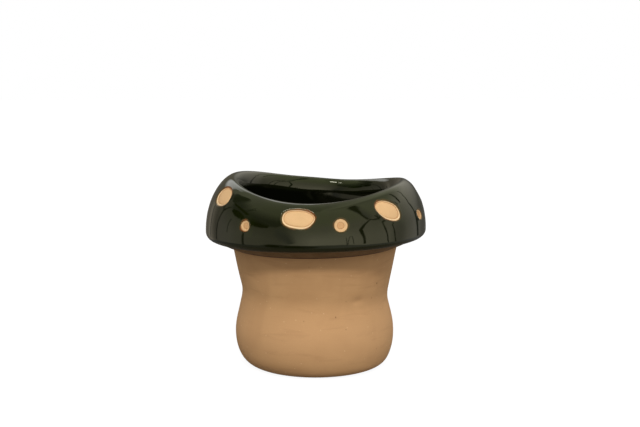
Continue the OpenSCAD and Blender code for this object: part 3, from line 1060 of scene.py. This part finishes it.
# Cards that only the glaze mirrors: brightness, points of azimuth, elevation and half width, and how
# much of the lower or left half and of the other half is soft, where it isn't half of each
CARDS = [
    # A wide dim band high at the front left, with darker patches before it
    (0.12, [(-136, 48, 4), (-130, 47.5, 8), (-120, 46.5, 9.5), (-108, 45, 11), (-101, 41.5, 15),
            (-96, 40, 17), (-85, 42, 16.5), (-70, 42.5, 17), (-55, 45, 17), (-42, 46, 16),
            (-31, 44, 8)], 0.3, 1.1),
    (0.06, [(-137, 54, 2), (-128, 51, 6), (-124, 46, 8), (-120, 41, 7), (-115, 37, 3)], 0.6, 0.6),
    (0, [(-113, 37, 1.5), (-105, 38.5, 2.5), (-95, 39.5, 2.5), (-86, 39, 3)], 0.6, 0.6),
    (0, [(-106, 29, 2.5), (-100, 29.5, 6), (-93, 29.5, 6), (-88, 31, 3)], 0.4, 0.4),
    (0, [(-86, 32, 4), (-78, 31, 7.5), (-68, 30.5, 8), (-60, 30.5, 7), (-52, 31, 4)], 0.4, 1),
    # A dim patch low at the front left
    (0.35, [(-41, 28, 5), (-35, 18, 10), (-29, 8, 10), (-24, -3, 7)], 0.8, 0.8),
    # A bright panel at the back left
    (1.7, [(-178, 38, 9), (-165, 36, 12), (-155, 33.5, 14.5), (-147, 34, 13), (-141, 36, 7)]),
    # A bent bar from overhead down the front right, with darker lines along it
    (0.42, [(104, 76, 1.5), (82, 72, 3.5), (66, 62, 5), (63, 52, 5), (62, 37, 4)], 0.3, 1.6),
    (0.05, [(112, 76.5, 2.5), (87, 75, 4.5), (73, 71, 4.5), (64, 64.5, 2.5), (60, 57, 1.5), (57, 50, 1.4),
            (56.5, 42.5, 1.4), (58, 35.5, 1.4)], 0.6, 0.6),
    (0.05, [(62, 33, 0.8), (58, 33, 1.2), (51, 27, 1.6), (46.5, 19, 2), (47.5, 10, 1.9), (49, 3, 1.6),
            (50.5, -10, 1.6)], 0.3, 0.3),
    (0.1, [(59, 36, 1.2), (63, 32, 1.8), (69, 29.5, 2.2), (76, 28, 1.8), (82, 28, 1)], 0.6, 0.6),
    # Two thin upright lines at the right
    (0.06, [(69, 38, 0.7), (73, 22, 0.9), (74.5, 10, 1.2), (76, 1, 1), (77.5, -7, 1.2), (80, -16, 0.8)]),
    (0.05, [(80, 30, 0.6), (83, 15, 1.1), (85.5, 5, 1), (88.5, -10, 1.2), (92, -20, 0.8)]),
    # A thin loop low at the right, and a line beside it
    (0.20, [(32, -8, 0.6), (32.5, 3, 0.6), (34, 9.5, 0.6), (36, 9.5, 0.6), (38, 1, 0.6), (39, -8, 0.6)]),
    (0.20, [(29.5, 8, 0.5), (30.5, -2, 0.7), (31.5, -12, 0.7)]),
    # Two dark lines that bound the bright stretch at the back right
    (0.05, [(130, 50, 1), (120, 43.5, 1.4), (113.5, 36, 1.5), (110.5, 29, 1)]),
    (0.06, [(136, 40, 0.6), (126, 30, 0.8), (122.5, 18, 1), (125.5, 8, 1.3), (128, -1, 2.5),
            (131, -14, 3)], 0.4, 0.4),
    # Thin upright lines at the left
    (0.08, [(-78.5, 12, 1), (-79, 3, 1.8), (-80, -20, 2.2)]),
    (0.15, [(-100, 18, 0.8), (-101.5, 10, 0.8), (-102, 0, 0.6)]),
    (0.06, [(-110, 30, 0.8), (-117, 18, 1.2), (-119.5, 8, 1.4), (-121.5, 0, 1.3), (-123, -12, 1.3)]),
    (0.10, [(-139, 10, 1), (-137, 0, 1), (-139, -12, 1)]),
    # A low dark row in front
    (0, [(-52, -17, 4), (-47, -16, 8), (-39, -16, 9), (-35, -17, 1), (-30, -18, 9), (-14, -19, 10),
         (-10, -17, 1), (-5, -18, 7), (2, -18, 3)]),
    # Two pairs of small bright dashes overhead, which the front spot keeps off the dome's front
    (26, [(-38, 78.3, 2.8), (-62, 74.5, 2.8)], 0.3, 0.3),
    (18, [(-56, 68.6, 2.2), (-65, 66.5, 2.2)], 0.3, 0.3),
]
CARD_STEP = 2.0  # degrees between the points of a card's outline
CARD_DISTANCE = 4.0  # metres from the planter to the first card's sphere
CARD_APART = 0.02  # metres from one card's sphere to the next one's
CARD_HEIGHT = 0.14  # metres, height of the point that the cards stand round


def make_card(number, brightness, path, soft_low=0.5, soft_high=0.5):
    """A ribbon on a sphere round the planter that only glossy rays see. Later ones stand nearer."""
    path = np.array(path, float)
    along = lengths_along(path[:, :2])
    places = np.linspace(0, along[-1], max(2, int(along[-1] / CARD_STEP) + 1))
    azimuth, elevation, half = (np.interp(places, along, path[:, k]) for k in range(3))
    ways = way_to(azimuth, elevation).T
    run = np.gradient(ways, axis=0)
    side = np.cross(ways, run)
    side = side / np.linalg.norm(side, axis=1)[:, None] * tan(half)[:, None]
    middle = np.array([0, 0, CARD_HEIGHT])
    distance = CARD_DISTANCE - number * CARD_APART
    points = np.concatenate([ways - side, ways + side]) * distance + middle
    count = len(ways)
    faces = [(k, k + 1, count + k + 1, count + k) for k in range(count - 1)]
    name = f"card_{number}"
    card = placed_mesh(name, points, faces, {"across": np.repeat([-1, 1], count)})
    made, n = material(name)
    opaque = n.band(n.attribute("across"), (-1.0, soft_low - 1), (1 - soft_high, 1.0))
    n.surface(n.choose(opaque, n.out("BsdfTransparent"), n.glow(brightness)))
    card.data.materials.append(made)
    for rays in ("camera", "diffuse", "transmission", "shadow"):
        setattr(card, "visible_" + rays, False)


LAMP_AT = (0, 0, 0.09)  # metres, the point that the lamp shines at
CAMERA_PLACE = (0.00487, -1.050, 0.295)
CAMERA_DOWN = 8.16  # degrees
CAMERA_LENS = 62.74  # millimetres, as is the sensor's width
CAMERA_SENSOR = 36


def make_lamp(azimuth, elevation, distance, size, power):
    """A square area lamp that isn't mirrored itself."""
    data = bpy.data.lights.new("key", "AREA")
    data.shape = "SQUARE"
    data.size = size
    data.energy = power
    lamp = placed("key", data)
    lamp.location = (way_to(azimuth, elevation) * distance + np.array(LAMP_AT)).tolist()
    lamp.rotation_euler = (math.radians(90 - elevation), 0, math.radians(azimuth))
    lamp.visible_camera = False
    lamp.visible_glossy = False


def make_camera():
    data = bpy.data.cameras.new("camera")
    data.lens = CAMERA_LENS
    data.sensor_width = CAMERA_SENSOR
    camera = placed("camera", data)
    camera.location = CAMERA_PLACE
    camera.rotation_euler = (math.radians(90 - CAMERA_DOWN), 0, 0)
    scene.camera = camera


make_floor()
make_world()
for number, card in enumerate(CARDS):
    make_card(number, *card)
make_lamp(azimuth=0, elevation=38, distance=2.2, size=0.22, power=20.3)
make_camera()
